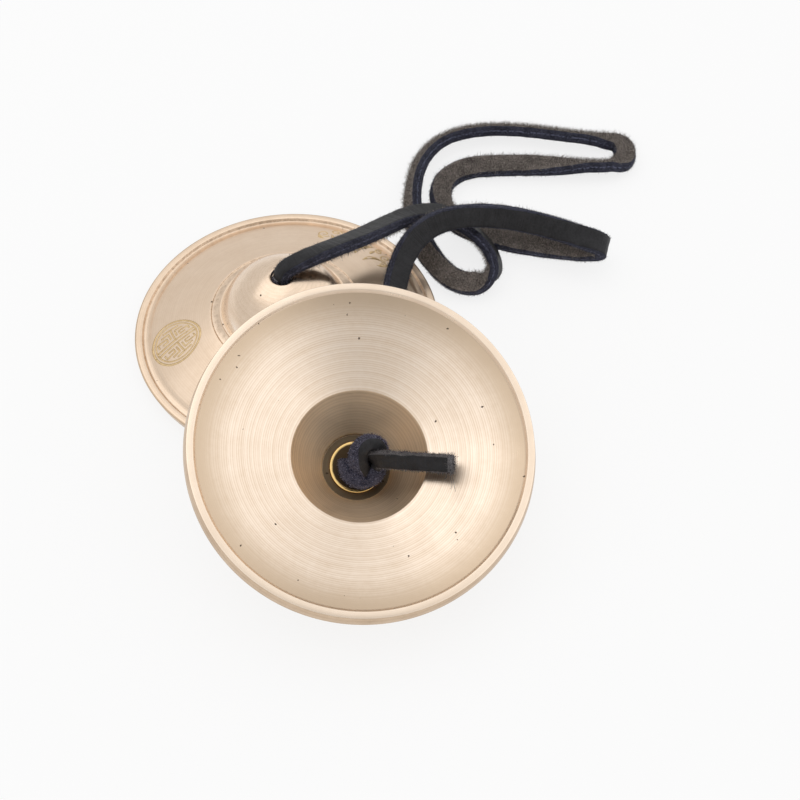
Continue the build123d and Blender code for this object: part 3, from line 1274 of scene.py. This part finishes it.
@dataclass(frozen=True)
class Fuzz:
    """Loose fibres on suede and on cut edges, so many to the square metre."""

    density: float
    length: float
    thickness: float = 0.00008
    shortest: float = 0.35
    lean: float = 1.0
    seed: int = 4

    def fibre(self) -> bpy.types.Object:
        """One tapered, slightly bent fibre, one metre long, from rows of height, lean and half width."""
        half = self.thickness / self.length / 2
        rows = ((0.0, 0.0, half), (0.5, 0.10, half * 0.8), (1.0, 0.34, 0.0))
        corners = []
        for height, lean, wide in rows:
            corners.append((lean, -wide, height))
            if wide:
                corners.append((lean, wide, height))
        return mesh_piece("fibre", np.array(corners), [(0, 1, 3, 2), (2, 3, 4)], [])

    def grow(
        self, source: bpy.types.Object, slots: Sequence[int], material: bpy.types.Material, name: str
    ) -> bpy.types.Object:
        """Grows fibres on the faces that have one of some materials.

        Args:
            source: The strip to grow them on. It stays as it is.
            slots: Material numbers of the faces that carry fibres.
            material: The fibres' material.
            name: The new piece's name.

        Returns:
            The plain mesh of all the fibres.
        """
        skin = source.copy()
        skin.data = source.data.copy()
        bpy.context.collection.objects.link(skin)
        carrier = skin.data.attributes.new("carries", "FLOAT", "FACE")
        index = np.zeros(len(skin.data.polygons), np.int32)
        skin.data.polygons.foreach_get("material_index", index)
        middle = np.zeros((len(index), 3))
        outward = np.zeros((len(index), 3))
        skin.data.polygons.foreach_get("center", middle.ravel())
        skin.data.polygons.foreach_get("normal", outward.ravel())
        clear = middle[:, 2] + outward[:, 2] * self.length > self.thickness
        carrier.data.foreach_set("value", (np.isin(index, slots) & clear).astype(np.float32))
        inputs = {
            "Density": ("NodeSocketFloat", self.density),
            "Length": ("NodeSocketFloat", self.length),
            "Seed": ("NodeSocketInt", self.seed),
        }
        tree = NodeModifier(f"{name}_tree", inputs)
        given = tree.start.outputs
        marked = tree.node("GeometryNodeInputNamedAttribute", {"data_type": "FLOAT"}, {"Name": "carries"})
        amount = tree.product(marked.outputs[0], given["Density"])
        spots = tree.node(
            "GeometryNodeDistributePointsOnFaces",
            {"distribute_method": "RANDOM"},
            {"Mesh": given[0], "Density": amount, "Seed": given["Seed"]},
        )
        lean = tree.node(
            "FunctionNodeRandomValue",
            {"data_type": "FLOAT_VECTOR"},
            {0: (-self.lean, -self.lean, 0.0), 1: (self.lean, self.lean, math.tau), "Seed": given["Seed"]},
        )
        leant = tree.node("FunctionNodeEulerToRotation", None, {0: lean.outputs[0]})
        facing = tree.node(
            "FunctionNodeRotateRotation",
            {"rotation_space": "LOCAL"},
            {"Rotation": spots.outputs["Rotation"], "Rotate By": leant.outputs[0]},
        )
        sizes = {2: self.shortest, 3: 1.0, "Seed": given["Seed"]}
        size = tree.node("FunctionNodeRandomValue", {"data_type": "FLOAT"}, sizes)
        shape = self.fibre()
        model = tree.node("GeometryNodeObjectInfo", None, {"Object": shape})
        copies = tree.node(
            "GeometryNodeInstanceOnPoints",
            None,
            {
                "Points": spots.outputs["Points"],
                "Instance": model.outputs["Geometry"],
                "Rotation": facing.outputs[0],
                "Scale": tree.product(size.outputs[1], given["Length"]),
            },
        )
        piece = tree.apply(skin, copies.outputs[0], material, name)
        bpy.data.objects.remove(shape)
        return piece


@dataclass
class Thong:
    """The leather thong between the bosses: one flat strip along the loops that it lies in."""

    rear_exit: Vector
    front_exit: Vector
    front_axis: Vector
    width: float = 0.0053
    thickness: float = 0.0026
    drawn_width: float = 0.0039
    drawn_thickness: float = 0.0033
    drawn_roundness: float = 0.8
    inside: float = 0.0012
    rear_rise: float = 0.0009
    front_rise: float = 0.0006
    length: float = 0.426
    on_edge: float = 0.0030
    lying_flat: float = 0.0021
    resolution: int = 12
    nap: Fuzz = Fuzz(density=2.3e7, length=0.0016)
    fray: Fuzz = Fuzz(density=1.6e7, length=0.0006)

    def route(self) -> list[Point]:
        """Control points from inside the rear hole to inside the front one."""
        edge, flat = self.on_edge, self.lying_flat
        open_route = [
            (-0.0072, 0.0236, 0.0222), (-0.0040, 0.0252, 0.0227), (0.0005, 0.0284, 0.0219),
            (0.0050, 0.0328, 0.0197), (0.0106, 0.0389, 0.0166), (0.0160, 0.0458, 0.0132),
            (0.0215, 0.0504, 0.0110), (0.0270, 0.0522, 0.0094), (0.0320, 0.0504, 0.0080),
            (0.0365, 0.0474, 0.0060), (0.0397, 0.0442, 0.0038), (0.0405, 0.0402, edge),
            (0.0386, 0.0364, edge), (0.0346, 0.0345, edge), (0.0302, 0.0358, edge),
            (0.0264, 0.0402, edge), (0.0230, 0.0468, edge), (0.0206, 0.0548, edge),
            (0.0202, 0.0628, edge), (0.0210, 0.0704, edge), (0.0230, 0.0776, edge),
            (0.0270, 0.0834, edge), (0.0330, 0.0870, edge), (0.0410, 0.0885, edge),
            (0.0500, 0.0880, edge), (0.0590, 0.0864, edge), (0.0660, 0.0851, edge),
            (0.0706, 0.0854, flat), (0.0762, 0.0842, flat), (0.0762, 0.0774, flat),
            (0.0714, 0.0752, flat), (0.0656, 0.0748, edge), (0.0588, 0.0748, edge),
            (0.0498, 0.0752, edge), (0.0410, 0.0750, edge), (0.0346, 0.0743, edge),
            (0.0296, 0.0718, flat), (0.0273, 0.0672, flat), (0.0278, 0.0612, flat),
            (0.0310, 0.0556, flat), (0.0366, 0.0514, edge), (0.0434, 0.0489, edge),
            (0.0518, 0.0471, edge), (0.0596, 0.0459, edge), (0.0662, 0.0450, 0.0036),
            (0.0664, 0.0420, 0.0088), (0.0606, 0.0436, 0.0100), (0.0550, 0.0462, 0.0101),
            (0.0465, 0.0483, 0.0110), (0.0390, 0.0484, 0.0124), (0.0320, 0.0469, 0.0138),
            (0.0258, 0.0446, 0.0141), (0.0209, 0.0410, 0.0130), (0.0178, 0.0360, 0.0110),
            (0.0162, 0.0300, 0.0096), (0.0150, 0.0210, 0.0093), (0.0134, 0.0105, 0.0089),
            (0.0116, 0.0005, 0.0079), (0.0100, -0.0070, 0.0062), (0.0089, -0.0114, 0.0035),
            (0.0080, -0.0154, 0.0020),
        ]
        start = [tuple(self.rear_exit + Vector((0.0, 0.0, rise))) for rise in (-self.inside, self.rear_rise)]
        end = [tuple(self.front_exit - self.front_axis * rise) for rise in (self.front_rise, -self.inside)]
        return start + open_route + end

    def grain_faces(self) -> dict[float, Point]:
        """Which way the grain side looks, at chosen control points of the route."""
        return {
            0: (-0.73, -0.68, 0.0), 1: (-0.7, -0.6, 0.3), 2: (-0.5, -0.3, 0.8), 5: (-0.13, 0.35, 0.93),
            7: (-0.1, 0.3, 0.93), 9: (0.2, 0.2, 0.95), 11: (0.5, 0.5, 0.7), 13: (0.95, 0.0, 0.3),
            14: (0.7, -0.3, -0.5), 15: (0.0, 0.4, -0.9), 17: (0.3, 0.4, -0.86), 19: (0.9, 0.0, -0.45),
            21: (0.9, 0.0, -0.45), 23: (0.5, -0.5, -0.7), 25: (0.0, -0.62, -0.78), 28: (0.0, -0.62, -0.78),
            30: (0.0, -0.1, -0.99), 31: (-0.1, -0.1, -0.98), 32: (0.0, -0.7, -0.7), 33: (0.0, -0.6, -0.8),
            35: (0.0, 0.2, -0.97), 37: (0.0, 0.3, -0.95), 38: (-0.1, 0.1, -0.98), 40: (-0.34, 0.0, -0.94),
            42: (-0.2, 0.2, -0.96), 45: (0.0, 0.42, -0.9), 46: (0.75, 0.0, -0.65), 47: (0.75, -0.4, 0.5),
            48: (0.2, -0.6, 0.78), 49: (0.0, -0.75, 0.66),
            51: (0.0, -0.9, 0.41), 53: (0.35, -0.75, 0.55), 55: (0.6, -0.2, 0.75), 57: (0.6, 0.0, 0.8),
            60: (0.3, 0.0, 0.95), 62: (0.0, 0.2, 0.98), 63: (0.0, 0.95, 0.3), 64: (0.0, 0.95, 0.28),
        }

    def build(self, workshop: Workshop) -> None:
        """Args:
            workshop: Where the materials come from.
        """
        controls = self.route()
        points = smooth_line("thong_route", controls, self.resolution)
        last = len(controls) - 1
        grain = keyed(self.grain_faces(), len(controls), len(points))
        drawn = {0: 1.0, 1: 1.0, 2: 0.75, 4: 0.25, 6: 0.0, last - 6: 0.0, last - 2: 0.75, last: 1.0}
        share = keyed({key: (value,) for key, value in drawn.items()}, len(controls), len(points))[:, 0]
        strip = Strip(
            points,
            grain,
            self.width + (self.drawn_width - self.width) * share,
            self.thickness + (self.drawn_thickness - self.thickness) * share,
            share * self.drawn_roundness,
        )
        finishes = (GRAIN_LEATHER, EDGE_LEATHER, SUEDE_LEATHER, EDGE_LEATHER)
        piece = strip.build("thong", [workshop.material(finish) for finish in finishes])
        nap = self.nap.grow(piece, [Side.FLESH.value], workshop.material(SUEDE_FIBRE), "thong_nap")
        fray = self.fray.grow(piece, [Side.EDGE.value], workshop.material(EDGE_FIBRE), "thong_fray")
        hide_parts("strap")
        for part in (piece, nap, fray):
            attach(part, "strap")
        fibres = len(nap.data.polygons) + len(fray.data.polygons)
        log.info("thong: %d faces, fibres %d", len(piece.data.polygons), fibres)


@dataclass
class Knot:
    """Overhand knot in a boss: a coil on the washer, a loop drawn over it and the thong's cut tail.

    Its places are given as seen when looking into the hollow: along the tail, up across it, and out of the
    hollow from the knot's seat.
    """

    name: str
    hanger: str
    cymbal: Cymbal
    seat: float = 0.01705
    tail_reach: float = 0.0188
    hole_end: float = 0.0202
    hair_width: float = 0.00008
    unevenness: float = 0.00022
    coil_middle: Flat = (1.08, -0.24)
    coil_reach: Flat = (3.2, 3.1)
    coil_rise: Flat = (2.2, 0.05)
    coil_start: float = 85.0
    coil_step: float = 31.0
    coil_steps: int = 10
    coil_size: Point = (0.0040, 0.0024, 0.5)
    loop_size: Point = (0.0041, 0.0026, 0.15)
    tail_size: Point = (0.0035, 0.0019, 0.0)
    tail_frayed: float = 0.0010
    resolution: int = 8
    nap: Fuzz = Fuzz(density=2.6e7, length=0.0007)
    fray: Fuzz = Fuzz(density=2.5e7, length=0.0011)

    def placed(self, spots: Sequence[Point]) -> list[Point]:
        """Places given along, up and out, in millimetres, as points of the frame."""
        place = self.cymbal.place
        seat = Vector((0.0, 0.0, self.seat))
        return [tuple(place @ (seat + Vector((along, -up, -out)) * MILLI)) for along, up, out in spots]

    def turned(self, ways: Mapping[float, Point]) -> dict[float, Point]:
        """Directions given along, up and out, as directions of the frame."""
        turn = self.cymbal.place.to_3x3()
        return {key: tuple(turn @ Vector((along, -up, -out))) for key, (along, up, out) in ways.items()}

    def strip(self, name: str, spots: Sequence[Point], ways: Mapping[float, Point], size: Point) -> Strip:
        """One strip of the knot.

        Args:
            name: What its passing curve is named after, beside the knot.
            spots: Control points along, up and out, in millimetres.
            ways: Where its grain side looks, at chosen control points.
            size: Its width, its thickness, and its roundness from 0, a flat strip, to 1, an ellipse.

        Returns:
            The strip.
        """
        points = smooth_line(f"{self.name}_{name}", self.placed(spots), self.resolution)
        grain = keyed(self.turned(ways), len(spots), len(points))
        width, thickness, roundness = (np.full(len(points), number) for number in size)
        return Strip(points, grain, width, thickness, roundness, self.unevenness)

    def coil(self) -> Strip:
        """The thong up through the hole and once round on the washer."""
        hole = (self.seat - self.hole_end) / MILLI
        spots = [(0.0, 0.0, hole), (0.0, 0.0, -1.5), (0.2, 0.0, 0.4), (0.2, 1.2, 1.8)]
        ways: dict[float, Point] = {0: (0.0, 1.0, 0.0), 1: (0.0, 1.0, 0.0), 2: (-0.4, 0.6, 0.6)}
        (along, up), (wide, high), (base, climb) = self.coil_middle, self.coil_reach, self.coil_rise
        for index in range(self.coil_steps):
            angle = math.radians(self.coil_start - self.coil_step * index)
            x, y = math.cos(angle), math.sin(angle)
            ways[len(spots)] = (-x * 0.5, -y * 0.5, -0.85)
            spots.append((along + wide * x, up + high * y, base + climb * index))
        return self.strip("coil", spots, ways, self.coil_size)

    def loop(self) -> Strip:
        """The turn that is drawn over the coil, round the tail's root."""
        spots = [
            (1.5, -1.9, 1.4), (0.7, -1.5, 3.3), (0.0, -0.6, 5.2), (-0.3, 0.7, 6.6), (0.1, 2.1, 7.6),
            (1.3, 3.2, 8.1), (2.9, 3.6, 7.7), (4.4, 2.9, 6.5), (4.9, 1.4, 4.6), (4.4, -0.2, 3.0),
        ]
        ways = {
            0: (0.4, 0.6, -0.7), 2: (0.66, 0.2, -0.7), 3: (0.70, 0.0, -0.70), 4: (0.55, -0.5, -0.66),
            5: (0.1, -0.85, -0.5), 6: (-0.2, -0.85, -0.45), 7: (-0.75, -0.5, -0.4), 9: (-0.9, 0.2, -0.4),
        }
        return self.strip("loop", spots, ways, self.loop_size)

    def tail(self) -> Strip:
        """The cut end of the thong, standing on edge across the hollow."""
        far = self.tail_reach / MILLI
        spots = [
            (2.2, 1.6, 2.6), (2.7, 1.0, 4.8), (3.5, 0.2, 7.0), (0.33 * far, -0.3, 9.1),
            (0.53 * far, -0.5, 10.6), (0.77 * far, -0.7, 12.4), (far, -0.9, 14.0),
        ]
        ways = {0: (0.0, -0.75, 0.66), 3: (0.0, -0.62, 0.78), 6: (0.0, -0.55, 0.83)}
        cut = self.strip("tail", spots, ways, self.tail_size)
        cut.frayed = self.tail_frayed
        return cut

    def hairs(self) -> list[Strip]:
        """Loose threads at the tail's cut end."""
        far = self.tail_reach / MILLI
        threads = (
            ((-0.4, -2.4, 13.7), (0.1, -3.6, 13.8), (0.5, -5.0, 13.9), (0.9, -6.6, 14.1)),
            ((-0.2, -2.3, 14.1), (-0.6, -3.8, 14.3), (0.3, -5.2, 14.2), (-0.1, -6.2, 13.9)),
            ((-0.9, -2.3, 13.4), (-1.3, -3.2, 13.7), (-1.1, -4.0, 14.1), (-1.6, -4.4, 14.3)),
        )
        ways = {0: (0.0, 0.0, 1.0), 3: (0.0, 0.0, 1.0)}
        size = (self.hair_width, self.hair_width, 1.0)
        placed = [[(far + along, up, out) for along, up, out in thread] for thread in threads]
        return [self.strip("hair", spots, ways, size) for spots in placed]

    def build(self, workshop: Workshop) -> None:
        """Makes the knot's strips and their fibres and puts them on the hanger's body.

        Args:
            workshop: Where the materials come from.
        """
        finishes = (GRAIN_LEATHER, KNOT_SUEDE, TAIL_EDGE, CUT_END)
        grain, suede, edge, end = (workshop.material(finish) for finish in finishes)
        strips = (
            (self.coil(), "coil", [grain, suede, suede, end], [Side.EDGE, Side.FLESH], KNOT_FIBRE),
            (self.loop(), "loop", [grain, grain, suede, end], [Side.FLESH], KNOT_FIBRE),
            (self.tail(), "tail", [grain, edge, suede, end], [Side.EDGE], TAIL_FIBRE),
        )
        parts = []
        for strip, label, sides, napped, fibre in strips:
            piece = strip.build(f"{self.name}_{label}", sides)
            slots = [side.value for side in napped]
            loose = workshop.material(fibre)
            nap = self.nap.grow(piece, slots, loose, f"{self.name}_{label}_nap")
            parts += [piece, nap]
            if label == "tail":
                parts.append(self.fray.grow(piece, [Side.END.value], loose, f"{self.name}_fray"))
        for index, hair in enumerate(self.hairs()):
            hair.unevenness = 0.0
            parts.append(hair.build(f"{self.name}_hair_{index}", [end, end, end, end]))
        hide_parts(self.name)
        for part in parts:
            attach(part, self.hanger)
        log.info("%s: %d pieces", self.name, len(parts))


@dataclass
class Studio:
    """Floor, soft light and the camera at the photograph's place."""

    target: Point = (0.01716, 0.00270, 0.0)
    elevation: float = 54.797
    distance: float = 0.28049
    focal_pixels: float = 1232.0
    image_pixels: float = 800.0
    sensor: float = 36.0
    floor_size: float = 3.0
    wall_glow: float = 0.84
    ceiling_glow: float = 0.26
    ceiling_span: Flat = (0.6, 0.88)
    right_glow: float = 0.34
    right_span: Flat = (0.2, 0.7)
    dim_way: Point = (0.16, -0.61, 0.77)
    dim_depth: float = 0.36
    dim_span: Flat = (0.85, 0.99)
    fill_glow: float = 0.85
    floor_glow: float = 0.8
    floor_tone: float = 0.92
    lamp_place: Point = (-0.25, 0.20, 0.70)
    lamp_side: float = 0.7
    lamp_power: float = 0.55

    def camera(self) -> None:
        """Puts the camera where the photograph was taken."""
        lens = bpy.data.cameras.new("camera")
        lens.sensor_width = self.sensor
        lens.lens = self.focal_pixels / self.image_pixels * self.sensor
        lens.clip_start = 0.01
        rise = math.radians(self.elevation)
        back = Vector((0.0, -math.cos(rise), math.sin(rise)))
        camera = bpy.data.objects.new("camera", lens)
        camera.location = Vector(self.target) + back * self.distance
        camera.rotation_euler = (-back).to_track_quat("-Z", "Y").to_euler()
        bpy.context.collection.objects.link(camera)
        bpy.context.scene.camera = camera

    def lamp(self) -> None:
        """A square soft lamp overhead that looks at the pair."""
        light = bpy.data.lights.new("overhead", "AREA")
        light.size = self.lamp_side
        light.energy = self.lamp_power
        lamp = bpy.data.objects.new("overhead", light)
        lamp.location = self.lamp_place
        way = Vector(self.target) - Vector(self.lamp_place)
        lamp.rotation_euler = way.to_track_quat("-Z", "Y").to_euler()
        bpy.context.collection.objects.link(lamp)

    def rays(self, tree: ShaderTree) -> list[Signal]:
        """1 each for rays from the camera, for mirrored ones and for those through glass."""
        path = tree.node("ShaderNodeLightPath")
        names = ("Is Camera Ray", "Is Glossy Ray", "Is Transmission Ray")
        return [Signal(tree, path.outputs[name]) for name in names]

    def seen(self, tree: ShaderTree) -> Signal:
        """1 for rays from the camera and for those that metal or glass sends on."""
        camera, mirrored, through = self.rays(tree)
        return (camera + mirrored + through).ramp(0.0, 1.0)

    def floor(self) -> None:
        """A pale floor that keeps the pair's shadow."""
        half = self.floor_size / 2
        made = bpy.data.materials.new("pale_floor")
        tree = ShaderTree(made)
        tone = self.floor_tone
        matt = tree.value("ShaderNodeBsdfDiffuse", None, {"Color": (tone, tone, tone, 1.0)})
        glow = tree.value("ShaderNodeEmission", None, {"Color": WHITE, "Strength": 1.0})
        share = self.seen(tree) * self.floor_glow
        tree.finish(tree.value("ShaderNodeMixShader", None, {0: share, 1: matt, 2: glow}))
        corners = np.array([(-half, -half, 0), (half, -half, 0), (half, half, 0), (-half, half, 0)], float)
        plane = mesh_piece("floor", corners, [(0, 1, 2, 3)], [made])

    def world(self) -> None:
        """Soft white walls: brightest overhead and on the right, dimmer behind and round the camera."""
        world = bpy.data.worlds.new("studio")
        bpy.context.scene.world = world
        tree = ShaderTree(world)
        way = tree.value("ShaderNodeTexCoord", None, None, "Generated")
        right, up = tree.parts("ShaderNodeSeparateXYZ", way, (0, 2))
        facing = tree.vector("DOT_PRODUCT", way, Vector(self.dim_way).normalized(), output="Value")
        walls = self.wall_glow + up.ramp(*self.ceiling_span) * self.ceiling_glow
        walls = walls + right.ramp(*self.right_span) * self.right_glow
        walls = walls - facing.ramp(*self.dim_span) * self.dim_depth
        camera, mirrored, through = self.rays(tree)
        straight = camera + through
        diffuse = 1.0 - mirrored - straight
        strength = mirrored * walls + straight + diffuse * self.fill_glow
        glow = tree.value("ShaderNodeBackground", None, {"Color": WHITE, "Strength": strength})
        tree.node("ShaderNodeOutputWorld", None, {"Surface": glow})

    def build(self) -> None:
        """Makes the whole studio."""
        bpy.context.scene.view_settings.view_transform = "Standard"
        self.camera()
        self.floor()
        self.world()
        self.lamp()


def joint(name: str) -> tuple[Vector, Vector]:
    """Place and direction of one of the part's joints."""
    found = next(entry for entry in frame["record"]["behaviour"]["joints"] if entry["name"] == name)
    return Vector(found["pos_m"]), Vector(found["axis"]).normalized()


def main() -> None:
    """Builds every piece in order."""
    logging.basicConfig(level=logging.INFO, format="%(name)s: %(message)s")
    workshop = Workshop()
    Studio().build()
    rear_land, rear_axis = joint("rear_cymbal_turn")
    front_land, front_axis = joint("front_cymbal_turn")
    front_hole, _ = joint("front_cymbal_rock")
    rear = Cymbal("rear_cymbal", rear_land, rear_axis, tail_towards=205.0)
    front = Cymbal("front_cymbal", front_land, -front_axis, tail_towards=-6.0)
    for cymbal in (rear, front):
        cymbal.build(workshop)
    for name, cymbal in (("rear_washer", rear), ("front_washer", front)):
        brass = WasherFinish(f"{name}_brass", tuple(cymbal.land), tuple(cymbal.boss))
        ring = frame["nodes"][name]
        ring.data.materials.clear()
        ring.data.materials.append(workshop.material(brass))
    rear_exit = rear_land + rear_axis * rear.profile.boss_height
    Thong(rear_exit, front_hole, front_axis).build(workshop)
    Knot("rear_knot", "rear_hanger", rear, tail_reach=0.0145).build(workshop)
    Knot("front_knot", "front_hanger", front).build(workshop)


if __name__ == "__main__":
    main()
